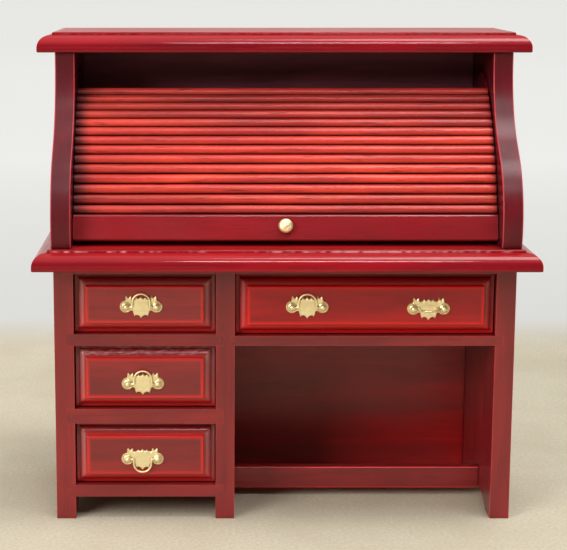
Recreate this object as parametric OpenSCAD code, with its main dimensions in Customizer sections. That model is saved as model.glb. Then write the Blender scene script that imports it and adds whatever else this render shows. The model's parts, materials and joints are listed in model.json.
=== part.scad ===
// Roll top desk, one-twelfth scale: S-shaped gables, tambour roll, three small drawers in a
// left pedestal and one wide drawer over the kneehole.
// Millimetres. Origin: floor level, under the middle of the desk. +X right, -Y front, +Z up.

/* [Overall] */
// width over the moulded desk slab
desk_w = 120; // [114:1:130]
// depth from the slab's front edge to its back edge
desk_d = 60; // [60:1:66]
// width over the two base sides, and over the two gables
base_w = 111.4; // [106:0.2:111.4]
// height of the underside of the desk slab
slab_z = 63.4; // [63.4:0.1:66]
// thickness of the desk slab and of the top board
board_t = 4.8; // [4.6:0.1:5.2]

/* [Gables] */
// height of the underside of the top board above the slab's surface
gable_h = 45.1; // [44.6:0.1:47]
// thickness of a gable
gable_t = 4.8; // [4.4:0.1:5]
// front edge of the upright top part, behind the slab's front edge
gable_top_y = 24.8; // [24.8:0.1:26.4]
// front edge of the belly, behind the slab's front edge
gable_belly_y = 4; // [3.4:0.1:5]
// radius of the hollow curve near the top
hollow_r = 24; // [16:1:24]
// radius of the belly
belly_r = 20; // [18:0.5:21]

/* [Roll] */
// radius of the roll's face
roll_r = 60; // [60:0.1:60.2]
// lean of the lowest slat from upright, degrees
roll_lean = 18; // [17.8:0.1:18.2]
// pitch of the slats on the face
slat_pitch = 2.6; // [2.58:0.01:2.62]
// thickness of a slat with its cloth
slat_t = 1.7; // [1.6:0.05:1.75]

/* [Base] */
// thickness of a base side
side_t = 4.7; // [4.4:0.1:4.8]
// thickness of the partition between pedestal and kneehole
part_t = 4.6; // [4.4:0.1:4.8]
// front edge of the base, behind the slab's front edge
base_y = 10.6; // [9:0.2:12]
// height of the arch between front and back foot
arch_h = 3; // [2:0.2:3]
// length of a foot at the floor
foot_l = 7; // [6:0.5:9]

/* [Drawers] */
// side clearance of a drawer front
front_gap = 0.2; // [0.1:0.05:0.3]
// how far the raised field stands in front of the drawer's border
field_h = 3.2; // [2.8:0.1:3.4]
// thickness of drawer sides and backs
box_t = 1.5; // [1.2:0.1:1.8]

/* [Pulls] */
// distance between the two posts of a pull
post_gap = 7.34; // [7:0.02:7.6]
// radius of the bail's wire
wire_r = 0.28; // [0.25:0.01:0.3]
// reach of the bail from its pivot to the middle of the wire
bail_reach = 3.2; // [3:0.1:3.4]

/* [Hidden] */
$fn = 48;
eps = 0.01;
front = -desk_d / 2;
top_z = slab_z + board_t;
roof_z = top_z + gable_h;
half = base_w / 2;
side_in = half - side_t;
gable_in = half - gable_t;
base_back = 59.4;
top_y = 23.5;
// back panels: front face, thickness, gap over the floor
panel_y = 57;
panel_t = 1.6;
panel_gap = 0.4;
// section of the moulded boards: lower band, ovolo, ledge, rounded arris
board_band = 1.1;
board_ovolo = 3;
board_ledge = 0.5;
board_edge = 0.35;
// gable: slope of the straight part from upright, height of the belly's centre over the slab
slope = 51;
belly_up = 5.3;
// run of the arch between a foot and its highest line
arch_run = 10;
part_x0 = -16.6;
part_x1 = part_x0 + part_t;
// drawer openings: bottom and top of each
op = [[46.4, 61.2], [27.8, 43.5], [8.6, 24.1], [46, 61.2]];
// rails: depth, laps into the sides and into the partition, undersides of the lowest two
rail_d = 4.5;
lap = 1.9;
part_lap = 0.9;
bottom_rail_z = 5.6;
knee_rail_z = 43.6;
// roll: centre of its arc, cloth radius, angle between slats, hinge pitch
roll_foot_y = 11.3;
roll_foot_up = 12.2;
roll_cy = roll_foot_y + roll_r * cos(roll_lean);
roll_cz = slab_z + roll_foot_up - roll_r * sin(roll_lean);
cloth_r = roll_r - slat_t;
slat_a = 2 * asin(slat_pitch / 2 / roll_r);
slat_p = 2 * cloth_r * sin(slat_a / 2);
slat_count = 14;
roll_end = roll_lean + slat_count * slat_a;
// second arc over the top and the bend down at the back
over_r = 22;
bend_r = 7;
over_cy = roll_cy - (roll_r - over_r) * cos(roll_end);
over_cz = roll_cz + (roll_r - over_r) * sin(roll_end);
bend_cy = over_cy;
bend_cz = over_cz + over_r - bend_r;
// grooves in the gables: depth, play round the roll, lowest angle, height of the rear end
groove_d = 1;
groove_gap = 0.25;
groove_a0 = 9;
groove_end_z = 84;
slat_gap = 0.25;
slat_half = gable_in - slat_gap;
rail_turn = 3.1;
rail_lean = roll_lean - rail_turn;
rail_t = 2.4;
field_proud = 0.6;
field_y = base_y - field_proud;
brad_r = 0.3;
brad_l = 7;

module wood_red() { color([0.42, 0.06, 0.05]) children(); }
module wood_dark() { color([0.22, 0.05, 0.05]) children(); }
module wood_slat() { color([0.55, 0.14, 0.08]) children(); }
module brass() { color([0.85, 0.72, 0.42]) children(); }

// box between two corners, y counted from the slab's front edge
module bx(x0, x1, y0, y1, z0, z1) {
  translate([x0, front + y0, z0]) cube([x1 - x0, y1 - y0, z1 - z0]);
}

// one moulded end: lower band, ovolo, ledge and fillet; the end is at x = 0, body towards +x
module moulded_half(w, t, band, r, ledge, edge) {
  translate([edge, 0]) square([w - edge, band]);
  translate([0, edge]) square([w, band - edge]);
  translate([edge, edge]) circle(r = edge);
  intersection() {
    translate([r, band]) circle(r = r);
    translate([0, band - eps]) square([w, r + 1]);
  }
  translate([r, 0]) square([w - r, band + r]);
  translate([r + ledge, 0]) square([w - r - ledge, t - edge]);
  translate([r + ledge + edge, 0]) square([w - r - ledge - edge, t]);
  translate([r + ledge + edge, t - edge]) circle(r = edge);
}

module moulded_full(w, t, band, r, ledge, edge) {
  moulded_half(w / 2 + eps, t, band, r, ledge, edge);
  translate([w, 0]) mirror([1, 0]) moulded_half(w / 2 + eps, t, band, r, ledge, edge);
}

// board moulded on the left, right and front edges, square at the back
module board(w, y0, y1, z) {
  intersection() {
    translate([-w / 2, front + y1, z]) rotate([90, 0, 0])
      linear_extrude(y1 - y0) moulded_full(w, board_t, board_band, board_ovolo, board_ledge, board_edge);
    translate([-w / 2, front + y0, z]) rotate([90, 0, 90])
      linear_extrude(w) moulded_half(y1 - y0, board_t, board_band, board_ovolo, board_ledge, board_edge);
  }
}

module desk_slab() { wood_red() board(desk_w, 0, desk_d, slab_z); }
module top_board() { wood_red() board(desk_w, top_y, desk_d, roof_z); }

// outline of a gable, x = distance behind the slab's front edge, y = height
module gable_outline() {
  run = (gable_top_y - gable_belly_y - (hollow_r + belly_r) * (1 - cos(slope))) / sin(slope);
  by = gable_belly_y + belly_r;
  bz = top_z + belly_up;
  j2 = [by - belly_r * cos(slope), bz + belly_r * sin(slope)];
  j1 = [j2[0] + run * sin(slope), j2[1] + run * cos(slope)];
  hy = gable_top_y - hollow_r;
  hz = j1[1] + hollow_r * sin(slope);
  difference() {
    intersection() {
      union() {
        polygon([[base_back, top_z], [base_back, roof_z], [gable_top_y, roof_z], [gable_top_y, hz], j1, j2,
          [by, bz]]);
        translate([by, bz]) circle(r = belly_r, $fn = 96);
        translate([by, top_z]) square([base_back - by, belly_up + eps]);
      }
      translate([0, top_z]) square([base_back, gable_h]);
    }
    translate([hy, hz]) circle(r = hollow_r, $fn = 64);
  }
}

// ring sector between two radii and two angles, angle 0 to the front, 90 up
module sector(r0, r1, a0, a1) {
  intersection() {
    difference() {
      circle(r = r1, $fn = 128);
      circle(r = r0, $fn = 128);
    }
    polygon([[0, 0], [-2 * r1 * cos(a0), 2 * r1 * sin(a0)],
      [-2 * r1 * cos((a0 + a1) / 2), 2 * r1 * sin((a0 + a1) / 2)], [-2 * r1 * cos(a1), 2 * r1 * sin(a1)]]);
  }
}

// path of the roll in a gable: main arc, arc over the top, bend and run down
module groove_outline() {
  g = groove_gap;
  translate([roll_cy, roll_cz]) sector(cloth_r - g, roll_r + g, groove_a0, roll_end);
  translate([over_cy, over_cz]) sector(over_r - slat_t - g, over_r + g, roll_end, 90);
  translate([bend_cy, bend_cz]) sector(bend_r - slat_t - g, bend_r + g, 90, 180);
  translate([bend_cy + bend_r - slat_t - g, groove_end_z])
    square([slat_t + 2 * g, bend_cz - groove_end_z + eps]);
}

module gable(side) {
  difference() {
    translate([side > 0 ? gable_in : -half, front, 0]) rotate([90, 0, 90])
      linear_extrude(gable_t) gable_outline();
    translate([side * gable_in - groove_d, front, 0]) rotate([90, 0, 90])
      linear_extrude(2 * groove_d) groove_outline();
  }
}

module gable_left() { wood_dark() gable(-1); }
module gable_right() { wood_dark() gable(1); }
module upper_back_panel() { wood_dark() bx(-gable_in, gable_in, panel_y, panel_y + panel_t, top_z, roof_z); }

// outline of a base side, feet at both ends of a low arch
module side_outline(y1) {
  arch_r = (arch_run * arch_run + arch_h * arch_h) / (2 * arch_h);
  y_front = base_y + foot_l;
  y_back = base_back - foot_l;
  difference() {
    translate([base_y, 0]) square([y1 - base_y, slab_z]);
    translate([y_front + arch_run, -1]) square([y_back - y_front - 2 * arch_run, arch_h + 1]);
    intersection() {
      translate([y_front, -1]) square([arch_run + eps, arch_h + 1]);
      translate([y_front + arch_run, arch_h - arch_r]) circle(r = arch_r, $fn = 128);
    }
    intersection() {
      translate([y_back - arch_run - eps, -1]) square([arch_run + eps, arch_h + 1]);
      translate([y_back - arch_run, arch_h - arch_r]) circle(r = arch_r, $fn = 128);
    }
  }
}

module side_board(x0, t, y1) {
  translate([x0, front, 0]) rotate([90, 0, 90]) linear_extrude(t) side_outline(y1);
}

// rails, let into notches in the front edges of the upright boards
module rail(x0, x1, z0, z1) { bx(x0, x1, base_y, base_y + rail_d, z0, z1); }
module upper_left_shape() { rail(-side_in - lap, part_x0 + lap, op[0][1], slab_z); }
module upper_right_shape() { rail(part_x1 - part_lap, side_in + lap, op[3][1], slab_z); }
module rail_a_shape() { rail(-side_in - lap, part_x0 + lap, op[1][1], op[0][0]); }
module rail_b_shape() { rail(-side_in - lap, part_x0 + lap, op[2][1], op[1][0]); }
module bottom_rail_shape() { rail(-side_in - lap, part_x0 + lap, bottom_rail_z, op[2][0]); }
module kneehole_shape() { rail(part_x1 - part_lap, side_in + lap, knee_rail_z, op[3][0]); }
module all_rails() {
  upper_left_shape();
  upper_right_shape();
  rail_a_shape();
  rail_b_shape();
  bottom_rail_shape();
  kneehole_shape();
}

// brads through the laps, heads flush with the rails
function brad_z() = [(op[0][1] + slab_z) / 2, (op[0][0] + op[1][1]) / 2, (op[1][0] + op[2][1]) / 2,
  (bottom_rail_z + op[2][0]) / 2];
module brad(x, z) {
  translate([x, front + base_y + brad_l, z]) rotate([90, 0, 0]) cylinder(r = brad_r, h = brad_l, $fn = 24);
}
module brad_set() {
  for (z = brad_z()) {
    brad(-side_in - lap / 2, z);
    brad(part_x0 + lap / 2, z);
  }
  for (z = [(op[3][1] + slab_z) / 2, (knee_rail_z + op[3][0]) / 2]) {
    brad(part_x1 - part_lap / 2, z);
    brad(side_in + lap / 2, z);
  }
}
module brads() { brass() brad_set(); }

module base_side_left() {
  wood_dark() difference() {
    side_board(-half, side_t, base_back);
    all_rails();
    brad_set();
  }
}
module partition() {
  wood_dark() difference() {
    side_board(part_x0, part_t, panel_y);
    all_rails();
    brad_set();
  }
}
module base_side_right() {
  wood_dark() difference() {
    side_board(side_in, side_t, base_back);
    all_rails();
    brad_set();
  }
}
module base_back_panel() { wood_dark() bx(-side_in, side_in, panel_y, panel_y + panel_t, panel_gap, slab_z); }

module upper_rail_left() { wood_dark() difference() { upper_left_shape(); brad_set(); } }
module upper_rail_right() { wood_dark() difference() { upper_right_shape(); brad_set(); } }
module drawer_rail_upper() { wood_dark() difference() { rail_a_shape(); brad_set(); } }
module drawer_rail_lower() { wood_dark() difference() { rail_b_shape(); brad_set(); } }
module bottom_rail() { wood_dark() difference() { bottom_rail_shape(); brad_set(); } }
module kneehole_rail() { wood_dark() difference() { kneehole_shape(); brad_set(); } }

// bar across the kneehole, half way back
stretcher_y0 = 29.3;
stretcher_y1 = 32.6;
stretcher_z0 = 2.3;
stretcher_z1 = 7.8;
module stretcher() {
  wood_dark() bx(part_x1, side_in, stretcher_y0, stretcher_y1, stretcher_z0, stretcher_z1);
}

// strips that the drawers slide on, from the front rails to the back panel
runner = 1.8;
module runner_strip(x, z) { bx(x, x + runner, base_y + rail_d, panel_y, z - runner, z); }
module drawer_runners() {
  wood_dark() {
    for (i = [0:2]) {
      runner_strip(-side_in, op[i][0]);
      runner_strip(part_x0 - runner, op[i][0]);
    }
    runner_strip(part_x1, op[3][0]);
    runner_strip(side_in - runner, op[3][0]);
  }
}

// low pigeonhole case behind the roll, with a false back that keeps the roll off the papers
case_play = 0.4;
case_x = gable_in - case_play;
case_y0 = 36;
case_y1 = 47.4;
case_h = 19;
case_t = 1.2;
cell_w = 16.5;
divider_t = 1;
divider_set = 0.4;
module pigeonhole_case() {
  wood_slat() difference() {
    bx(-case_x, case_x, case_y0, case_y1, top_z, top_z + case_h);
    bx(-case_x + case_t, case_x - case_t, case_y0 - 1, case_y1 + 1, top_z + case_t, top_z + case_h - case_t);
  }
}
module pigeonhole_dividers() {
  wood_slat() for (i = [-2:2]) {
    translate([i * cell_w, 0, 0])
      bx(-divider_t / 2, divider_t / 2, case_y0 + divider_set, case_y1, top_z + case_t, top_z + case_h - case_t);
  }
}
module false_back() { wood_slat() bx(-case_x, case_x, case_y1, case_y1 + case_t, top_z, top_z + case_h); }

// place a shape drawn with x along the roll and y outwards at an angle on the cloth line
module on_roll(a, r, lean, half_x) {
  translate([-half_x, front + roll_cy - r * cos(a), roll_cz + r * sin(a)]) rotate([90, 0, 90])
    linear_extrude(2 * half_x) rotate(90 - lean) children();
}

// half-round slat on its strip of cloth
slat_play = 0.1;
module slat_section() {
  w = slat_p - slat_play;
  r = w / 2;
  translate([-w / 2, 0]) square([w, slat_t - r + eps]);
  intersection() {
    translate([0, slat_t - r]) circle(r = r, $fn = 40);
    translate([-w, 0]) square([2 * w, slat_t + 1]);
  }
}
module slat(k) {
  a = roll_lean + (k - 0.5) * slat_a;
  wood_slat() on_roll(a, cloth_r * cos(slat_a / 2), a, slat_half) slat_section();
}

// lift rail: height of its section, arris radius, tongue length, height, offset and thickness
rail_w = 6.3;
rail_edge = 0.6;
tongue_l = 0.7;
tongue_w = 4.8;
tongue_in = 0.15;
tongue_t = 1.4;
module rail_section() {
  w = rail_w;
  r = rail_edge;
  translate([-w / 2, 0]) square([w, rail_t - r]);
  translate([-w / 2 + r, 0]) square([w - 2 * r, rail_t]);
  translate([-w / 2 + r, rail_t - r]) circle(r = r, $fn = 32);
  translate([w / 2 - r, rail_t - r]) circle(r = r, $fn = 32);
}
module knob_place() {
  translate([0, front + roll_cy - cloth_r * cos(rail_lean), roll_cz + cloth_r * sin(rail_lean)])
    rotate([90 - rail_lean, 0, 0]) children();
}
// board with a tongue at each end that runs in the gable's groove, and a hole for the knob's pin
module lift_rail() {
  wood_slat() difference() {
    union() {
      on_roll(rail_lean, cloth_r, rail_lean, slat_half) rail_section();
      on_roll(rail_lean, cloth_r, rail_lean, gable_in + tongue_l)
        translate([-tongue_w / 2, tongue_in]) square([tongue_w, tongue_t]);
    }
    knob_place() translate([0, 0, -1]) cylinder(r = pin_r, h = rail_t + 2, $fn = 32);
  }
}
// round knob with a stem, a flange and a domed head; its pin goes into the lift rail
pin_r = 0.4;
pin_l = 2;
knob_r = 1.75;
foot_r = 1.5;
foot_t = 0.3;
stem_r = 0.75;
stem_l = 0.9;
flange_z = 0.8;
flange_t = 0.5;
dome_r = 2.19;
module lift_knob() {
  brass() knob_place() {
    translate([0, 0, rail_t - pin_l]) cylinder(r = pin_r, h = pin_l + foot_t, $fn = 32);
    translate([0, 0, rail_t]) rotate_extrude($fn = 64) {
      square([foot_r, foot_t]);
      square([stem_r, stem_l]);
      translate([0, flange_z]) square([knob_r, flange_t]);
      intersection() {
        circle(r = dome_r);
        translate([0, flange_z + flange_t]) square([knob_r, dome_r]);
      }
    }
  }
}

module slat_01() { slat(1); }
module slat_02() { slat(2); }
module slat_03() { slat(3); }
module slat_04() { slat(4); }
module slat_05() { slat(5); }
module slat_06() { slat(6); }
module slat_07() { slat(7); }
module slat_08() { slat(8); }
module slat_09() { slat(9); }
module slat_10() { slat(10); }
module slat_11() { slat(11); }
module slat_12() { slat(12); }
module slat_13() { slat(13); }
module slat_14() { slat(14); }

// opening of drawer i: left, right, bottom, top, with the clearance taken off
function dx0(i) = (i == 3 ? part_x1 : -side_in) + front_gap;
function dx1(i) = (i == 3 ? side_in : part_x0) - front_gap;
function dz0(i) = op[i][0] + lift_gap;
function dz1(i) = op[i][1] - lift_gap;
lift_gap = 0.15;
front_t = 5.4;
front_back = field_y + front_t;
// drawer box: play at the sides, rear end, drop of the upper edge, floor's height, thickness, lap and groove
box_gap = 0.5;
box_end = panel_y - 1;
box_drop = 1.2;
floor_up = 0.9;
floor_t = 0.8;
floor_lap = 0.8;
front_groove = 1;
groove_in = 2;
floor_play = 0.1;
floor_short = 0.2;
box_ride = 0.05;

// drawer front: flat border, ovolo, ledge and raised field, moulded all round
module drawer_front(i) {
  w = dx1(i) - dx0(i);
  h = dz1(i) - dz0(i);
  wood_red() difference() {
    intersection() {
      translate([dx0(i), front + front_back, dz0(i)]) rotate([90, 0, 0]) linear_extrude(front_t) square([w, h]);
      translate([dx0(i), front + front_back, dz0(i)]) rotate([90, 0, 0])
        rotate([90, 0, 90]) linear_extrude(w) front_section(h);
      translate([dx1(i), front + front_back, dz0(i)]) rotate([0, 0, 180])
        linear_extrude(h) front_section(w);
    }
    bx(dx0(i) + groove_in, dx1(i) - groove_in, front_back - front_groove, front_back + 1,
      dz0(i) + floor_up, dz0(i) + floor_up + floor_t + floor_play);
    post_holes(i);
  }
}
// section of a drawer front, x across, y outwards
front_border = 0.9;
front_ovolo = 1.5;
front_ledge = 0.35;
module front_section(w) {
  b = front_border;
  r = front_ovolo;
  s = front_t - field_h;
  square([w, s]);
  translate([b + r, 0]) square([w - 2 * b - 2 * r, s + r]);
  intersection() {
    union() {
      translate([b + r, s]) circle(r = r);
      translate([w - b - r, s]) circle(r = r);
    }
    square([w, front_t]);
  }
  translate([b + r + front_ledge, 0]) square([w - 2 * (b + r + front_ledge), front_t]);
}

// drawer sides and back
module drawer_box(i) {
  x0 = dx0(i) + box_gap - front_gap;
  x1 = dx1(i) - box_gap + front_gap;
  z0 = op[i][0] + box_ride;
  z1 = dz1(i) - box_drop;
  wood_slat() difference() {
    union() {
      bx(x0, x0 + box_t, front_back, box_end, z0, z1);
      bx(x1 - box_t, x1, front_back, box_end, z0, z1);
      bx(x0 + box_t, x1 - box_t, box_end - box_t, box_end, dz0(i) + floor_up + floor_t, z1);
    }
    drawer_bottom_shape(i);
  }
}
// bottom panel, in grooves in the front and the sides, under the back
module drawer_bottom_shape(i) {
  x_lap = box_gap - front_gap + box_t - floor_lap;
  bx(dx0(i) + x_lap, dx1(i) - x_lap, front_back, box_end - floor_short, dz0(i) + floor_up,
    dz0(i) + floor_up + floor_t);
}
module drawer_bottom_panel(i) {
  wood_slat() {
    drawer_bottom_shape(i);
    bx(dx0(i) + groove_in + floor_play, dx1(i) - groove_in - floor_play,
      front_back - front_groove + floor_play, front_back + 1,
      dz0(i) + floor_up, dz0(i) + floor_up + floor_t);
  }
}

module small_drawer_1_front() { drawer_front(0); }
module small_drawer_2_front() { drawer_front(1); }
module small_drawer_3_front() { drawer_front(2); }
module wide_drawer_front() { drawer_front(3); }
module small_drawer_1_box() { drawer_box(0); }
module small_drawer_2_box() { drawer_box(1); }
module small_drawer_3_box() { drawer_box(2); }
module wide_drawer_box() { drawer_box(3); }
module small_drawer_1_bottom() { drawer_bottom_panel(0); }
module small_drawer_2_bottom() { drawer_bottom_panel(1); }
module small_drawer_3_bottom() { drawer_bottom_panel(2); }
module wide_drawer_bottom() { drawer_bottom_panel(3); }

// pulls: drawer, x and z of the middle of the posts
pulls = [[0, -34.6, 53.4], [1, -34.3, 34.4], [2, -34.5, 15.5], [3, 5.4, 53.3], [3, 34.6, 52.9]];
plate_t = 0.45;
lobe_r = 1.48;
pivot_out = 0.8;
post_r = 0.84;
post_h = 0.9;
shank_r = 0.4;
shank_l = 1.6;
eye_play = 0.06;
eye_in = 1.2;
eye_l = 1.7;
// bail: half the distance between its legs, length of each pivot end
leg_x = 2.15;
pivot_l = 1.9;

// half outline of the stamped plate: points and ears above, shield with three points below
function plate_half() = [[0, 2.4], [0.55, 2.0], [1.1, 2.35], [1.65, 1.85], [2.0, 1.75], [2.25, 1.9], [2.6, 2.5],
  [3.0, 2.0], [3.45, 2.5], [3.75, 1.4], [3.3, -1.3], [2.4, -0.95], [1.98, -1.15], [1.65, -2.4], [0.85, -2.1],
  [0, -2.85]];
module plate_outline() {
  polygon(plate_half());
  mirror([1, 0]) polygon(plate_half());
  for (s = [-1, 1]) translate([s * post_gap / 2, 0]) circle(r = lobe_r, $fn = 40);
}
module at_pull(p) {
  translate([p[1], front + field_y, p[2]]) rotate([90, 0, 0]) children();
}
module pull_posts(r, h) {
  for (s = [-1, 1]) translate([s * post_gap / 2, 0, -shank_l]) cylinder(r = r, h = h, $fn = 32);
}
module post_holes(i) {
  for (p = pulls) if (p[0] == i) at_pull(p) pull_posts(shank_r, 2 * shank_l);
}
// plate with its two posts: shank into the drawer front, and a domed eye for the bail
module pull_plate(p) {
  brass() difference() {
    at_pull(p) {
      linear_extrude(plate_t) plate_outline();
      pull_posts(shank_r, shank_l + plate_t);
      for (s = [-1, 1]) translate([s * post_gap / 2, 0, 0]) rotate_extrude($fn = 48) {
        square([post_r, post_h]);
        intersection() {
          translate([0, post_h]) circle(r = post_r);
          square([post_r, post_h + post_r]);
        }
      }
    }
    at_pull(p) translate([0, 0, pivot_out]) for (s = [-1, 1])
      translate([s * (post_gap / 2 - eye_in), 0, 0]) rotate([0, s * 90, 0])
        cylinder(r = wire_r + eye_play, h = eye_l, $fn = 32);
  }
}
// bail: two pivot ends, two legs and a half ring, drawn upwards from the pivot
module bail(p, swing) {
  ring_r = leg_x;
  brass() at_pull(p) translate([0, 0, pivot_out]) rotate([swing, 0, 0]) {
    for (s = [-1, 1]) {
      translate([s * leg_x, 0, 0]) rotate([0, s * 90, 0]) cylinder(r = wire_r, h = pivot_l, $fn = 32);
      translate([s * leg_x, 0, 0]) sphere(r = wire_r, $fn = 32);
      translate([s * leg_x, 0, 0]) rotate([-90, 0, 0]) cylinder(r = wire_r, h = bail_reach - ring_r, $fn = 32);
    }
    translate([0, bail_reach - ring_r, 0]) rotate_extrude(angle = 180, $fn = 96)
      translate([ring_r, 0]) circle(r = wire_r, $fn = 32);
  }
}
module pull_1_plate() { pull_plate(pulls[0]); }
module pull_2_plate() { pull_plate(pulls[1]); }
module pull_3_plate() { pull_plate(pulls[2]); }
module pull_4_plate() { pull_plate(pulls[3]); }
module pull_5_plate() { pull_plate(pulls[4]); }
module pull_1_bail() { bail(pulls[0], 0); }
module pull_2_bail() { bail(pulls[1], 0); }
module pull_3_bail() { bail(pulls[2], 180); }
module pull_4_bail() { bail(pulls[3], 0); }
module pull_5_bail() { bail(pulls[4], 90); }

desk_slab();
top_board();
gable_left();
gable_right();
upper_back_panel();
base_side_left();
partition();
base_side_right();
base_back_panel();
upper_rail_left();
upper_rail_right();
drawer_rail_upper();
drawer_rail_lower();
bottom_rail();
kneehole_rail();
stretcher();
drawer_runners();
brads();
pigeonhole_case();
pigeonhole_dividers();
false_back();
lift_rail();
lift_knob();
slat_01();
slat_02();
slat_03();
slat_04();
slat_05();
slat_06();
slat_07();
slat_08();
slat_09();
slat_10();
slat_11();
slat_12();
slat_13();
slat_14();
small_drawer_1_front();
small_drawer_1_box();
small_drawer_1_bottom();
small_drawer_2_front();
small_drawer_2_box();
small_drawer_2_bottom();
small_drawer_3_front();
small_drawer_3_box();
small_drawer_3_bottom();
wide_drawer_front();
wide_drawer_box();
wide_drawer_bottom();
pull_1_plate();
pull_2_plate();
pull_3_plate();
pull_4_plate();
pull_5_plate();
pull_1_bail();
pull_2_bail();
pull_3_bail();
pull_4_bail();
pull_5_bail();
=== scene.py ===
"""Roll top desk in one-twelfth scale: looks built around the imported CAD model. Metres, CAD frame."""

import json
import math

import bmesh
import bpy
from mathutils import Matrix, Vector, noise
from mathutils.geometry import delaunay_2d_cdt

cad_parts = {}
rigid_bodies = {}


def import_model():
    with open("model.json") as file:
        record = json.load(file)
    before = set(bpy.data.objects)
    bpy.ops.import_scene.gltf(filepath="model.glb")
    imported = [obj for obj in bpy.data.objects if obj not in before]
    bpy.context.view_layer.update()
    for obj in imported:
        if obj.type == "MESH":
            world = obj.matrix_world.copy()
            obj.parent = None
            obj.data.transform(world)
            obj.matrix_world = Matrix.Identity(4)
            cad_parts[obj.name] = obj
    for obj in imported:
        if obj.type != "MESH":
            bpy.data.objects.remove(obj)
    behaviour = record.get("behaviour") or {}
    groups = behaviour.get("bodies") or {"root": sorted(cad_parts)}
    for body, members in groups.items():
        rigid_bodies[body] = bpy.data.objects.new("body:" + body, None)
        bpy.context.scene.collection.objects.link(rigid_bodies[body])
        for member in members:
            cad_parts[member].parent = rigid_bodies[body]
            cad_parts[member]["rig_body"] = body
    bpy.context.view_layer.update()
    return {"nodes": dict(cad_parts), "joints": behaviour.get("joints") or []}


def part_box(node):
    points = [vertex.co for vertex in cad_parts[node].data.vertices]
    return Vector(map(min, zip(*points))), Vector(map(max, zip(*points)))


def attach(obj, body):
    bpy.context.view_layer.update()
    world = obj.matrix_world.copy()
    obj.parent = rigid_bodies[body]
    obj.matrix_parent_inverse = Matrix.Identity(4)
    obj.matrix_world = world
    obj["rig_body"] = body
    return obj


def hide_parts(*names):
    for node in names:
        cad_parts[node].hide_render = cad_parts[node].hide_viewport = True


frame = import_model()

NODES = frame["nodes"]
JOINTS = {j["name"]: j for j in frame["joints"]}
MM = 0.001
EVEN = (1.0, 1.0, 1.0)


# ---------------------------------------------------------------- shader helpers

class Tree:
    """Short ways to add and link shader nodes."""

    def __init__(self, name):
        self.mat = bpy.data.materials.new(name)
        self.mat.use_nodes = True
        self.nodes = self.mat.node_tree.nodes
        self.links = self.mat.node_tree.links
        self.bsdf = self.nodes["Principled BSDF"]

    def add(self, kind, **values):
        node = self.nodes.new("ShaderNode" + kind)
        for key, value in values.items():
            setattr(node, key, value)
        return node

    def link(self, a, b):
        self.links.new(a, b)

    def feed(self, socket, value):
        """Links a socket to another one, or sets its number or colour."""
        if hasattr(value, "default_value"):
            self.link(value, socket)
        else:
            socket.default_value = (*value, 1.0) if isinstance(value, tuple) else value

    def surface(self, values):
        """Links or sets sockets of the material's own shader, by name."""
        for key, value in values.items():
            self.feed(self.bsdf.inputs[key], value)

    def coords(self, scale=EVEN):
        """Object coordinates times a scale, so that a pattern follows its piece."""
        where = self.add("TexCoord")
        mapping = self.add("Mapping")
        mapping.inputs["Scale"].default_value = scale
        self.link(where.outputs["Object"], mapping.inputs["Vector"])
        return mapping.outputs["Vector"]

    def attribute(self, name):
        """A number that the mesh carries at its vertices or faces."""
        return self.add("Attribute", attribute_name=name).outputs["Fac"]

    def noise(self, vector, scale, detail=3.0, rough=0.5, distortion=0.0):
        node = self.add("TexNoise")
        node.inputs["Scale"].default_value = scale
        node.inputs["Detail"].default_value = detail
        node.inputs["Roughness"].default_value = rough
        node.inputs["Distortion"].default_value = distortion
        self.link(vector, node.inputs["Vector"])
        return node.outputs["Fac"]

    def span(self, value, low, high, out_low=0.0, out_high=1.0):
        """Maps low..high to out_low..out_high, clamped."""
        node = self.add("MapRange")
        for key, number in (("From Min", low), ("From Max", high), ("To Min", out_low), ("To Max", out_high)):
            node.inputs[key].default_value = number
        self.link(value, node.inputs["Value"])
        return node.outputs["Result"]

    def mix(self, factor, a, b, blend="MIX"):
        """Mixes two colours; each may be a socket or a colour."""
        node = self.add("Mix", data_type="RGBA", blend_type=blend)
        for socket, value in ((node.inputs[0], factor), (node.inputs[6], a), (node.inputs[7], b)):
            self.feed(socket, value)
        return node.outputs[2]

    def times(self, a, b):
        node = self.add("Math", operation="MULTIPLY")
        for socket, value in zip(node.inputs, (a, b)):
            self.feed(socket, value)
        return node.outputs[0]

    def edges(self, radius):
        """About 0 on flat wood and up to 1 on an outer arris, from the bevel shader's normal."""
        bevel = self.add("Bevel", samples=6)
        bevel.inputs["Radius"].default_value = radius
        here = self.add("NewGeometry")
        dot = self.add("VectorMath", operation="DOT_PRODUCT")
        self.link(bevel.outputs["Normal"], dot.inputs[0])
        self.link(here.outputs["Normal"], dot.inputs[1])
        return self.span(dot.outputs["Value"], 0.99, 0.82)

    def crevices(self, distance):
        """1 in the open and towards 0 in grooves and inner corners."""
        node = self.add("AmbientOcclusion", samples=6)
        node.inputs["Distance"].default_value = distance
        return node.outputs["AO"]

    def bump(self, height, strength, distance, normal=None):
        node = self.add("Bump")
        node.inputs["Strength"].default_value = strength
        node.inputs["Distance"].default_value = distance
        self.link(height, node.inputs["Height"])
        if normal is not None:
            self.link(normal, node.inputs["Normal"])
        return node.outputs["Normal"]


# ---------------------------------------------------------------- materials

def along(axis, stretch):
    """Scale that draws a pattern out along one axis."""
    return tuple(stretch if i == "xyz".index(axis) else 1.0 for i in range(3))


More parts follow.
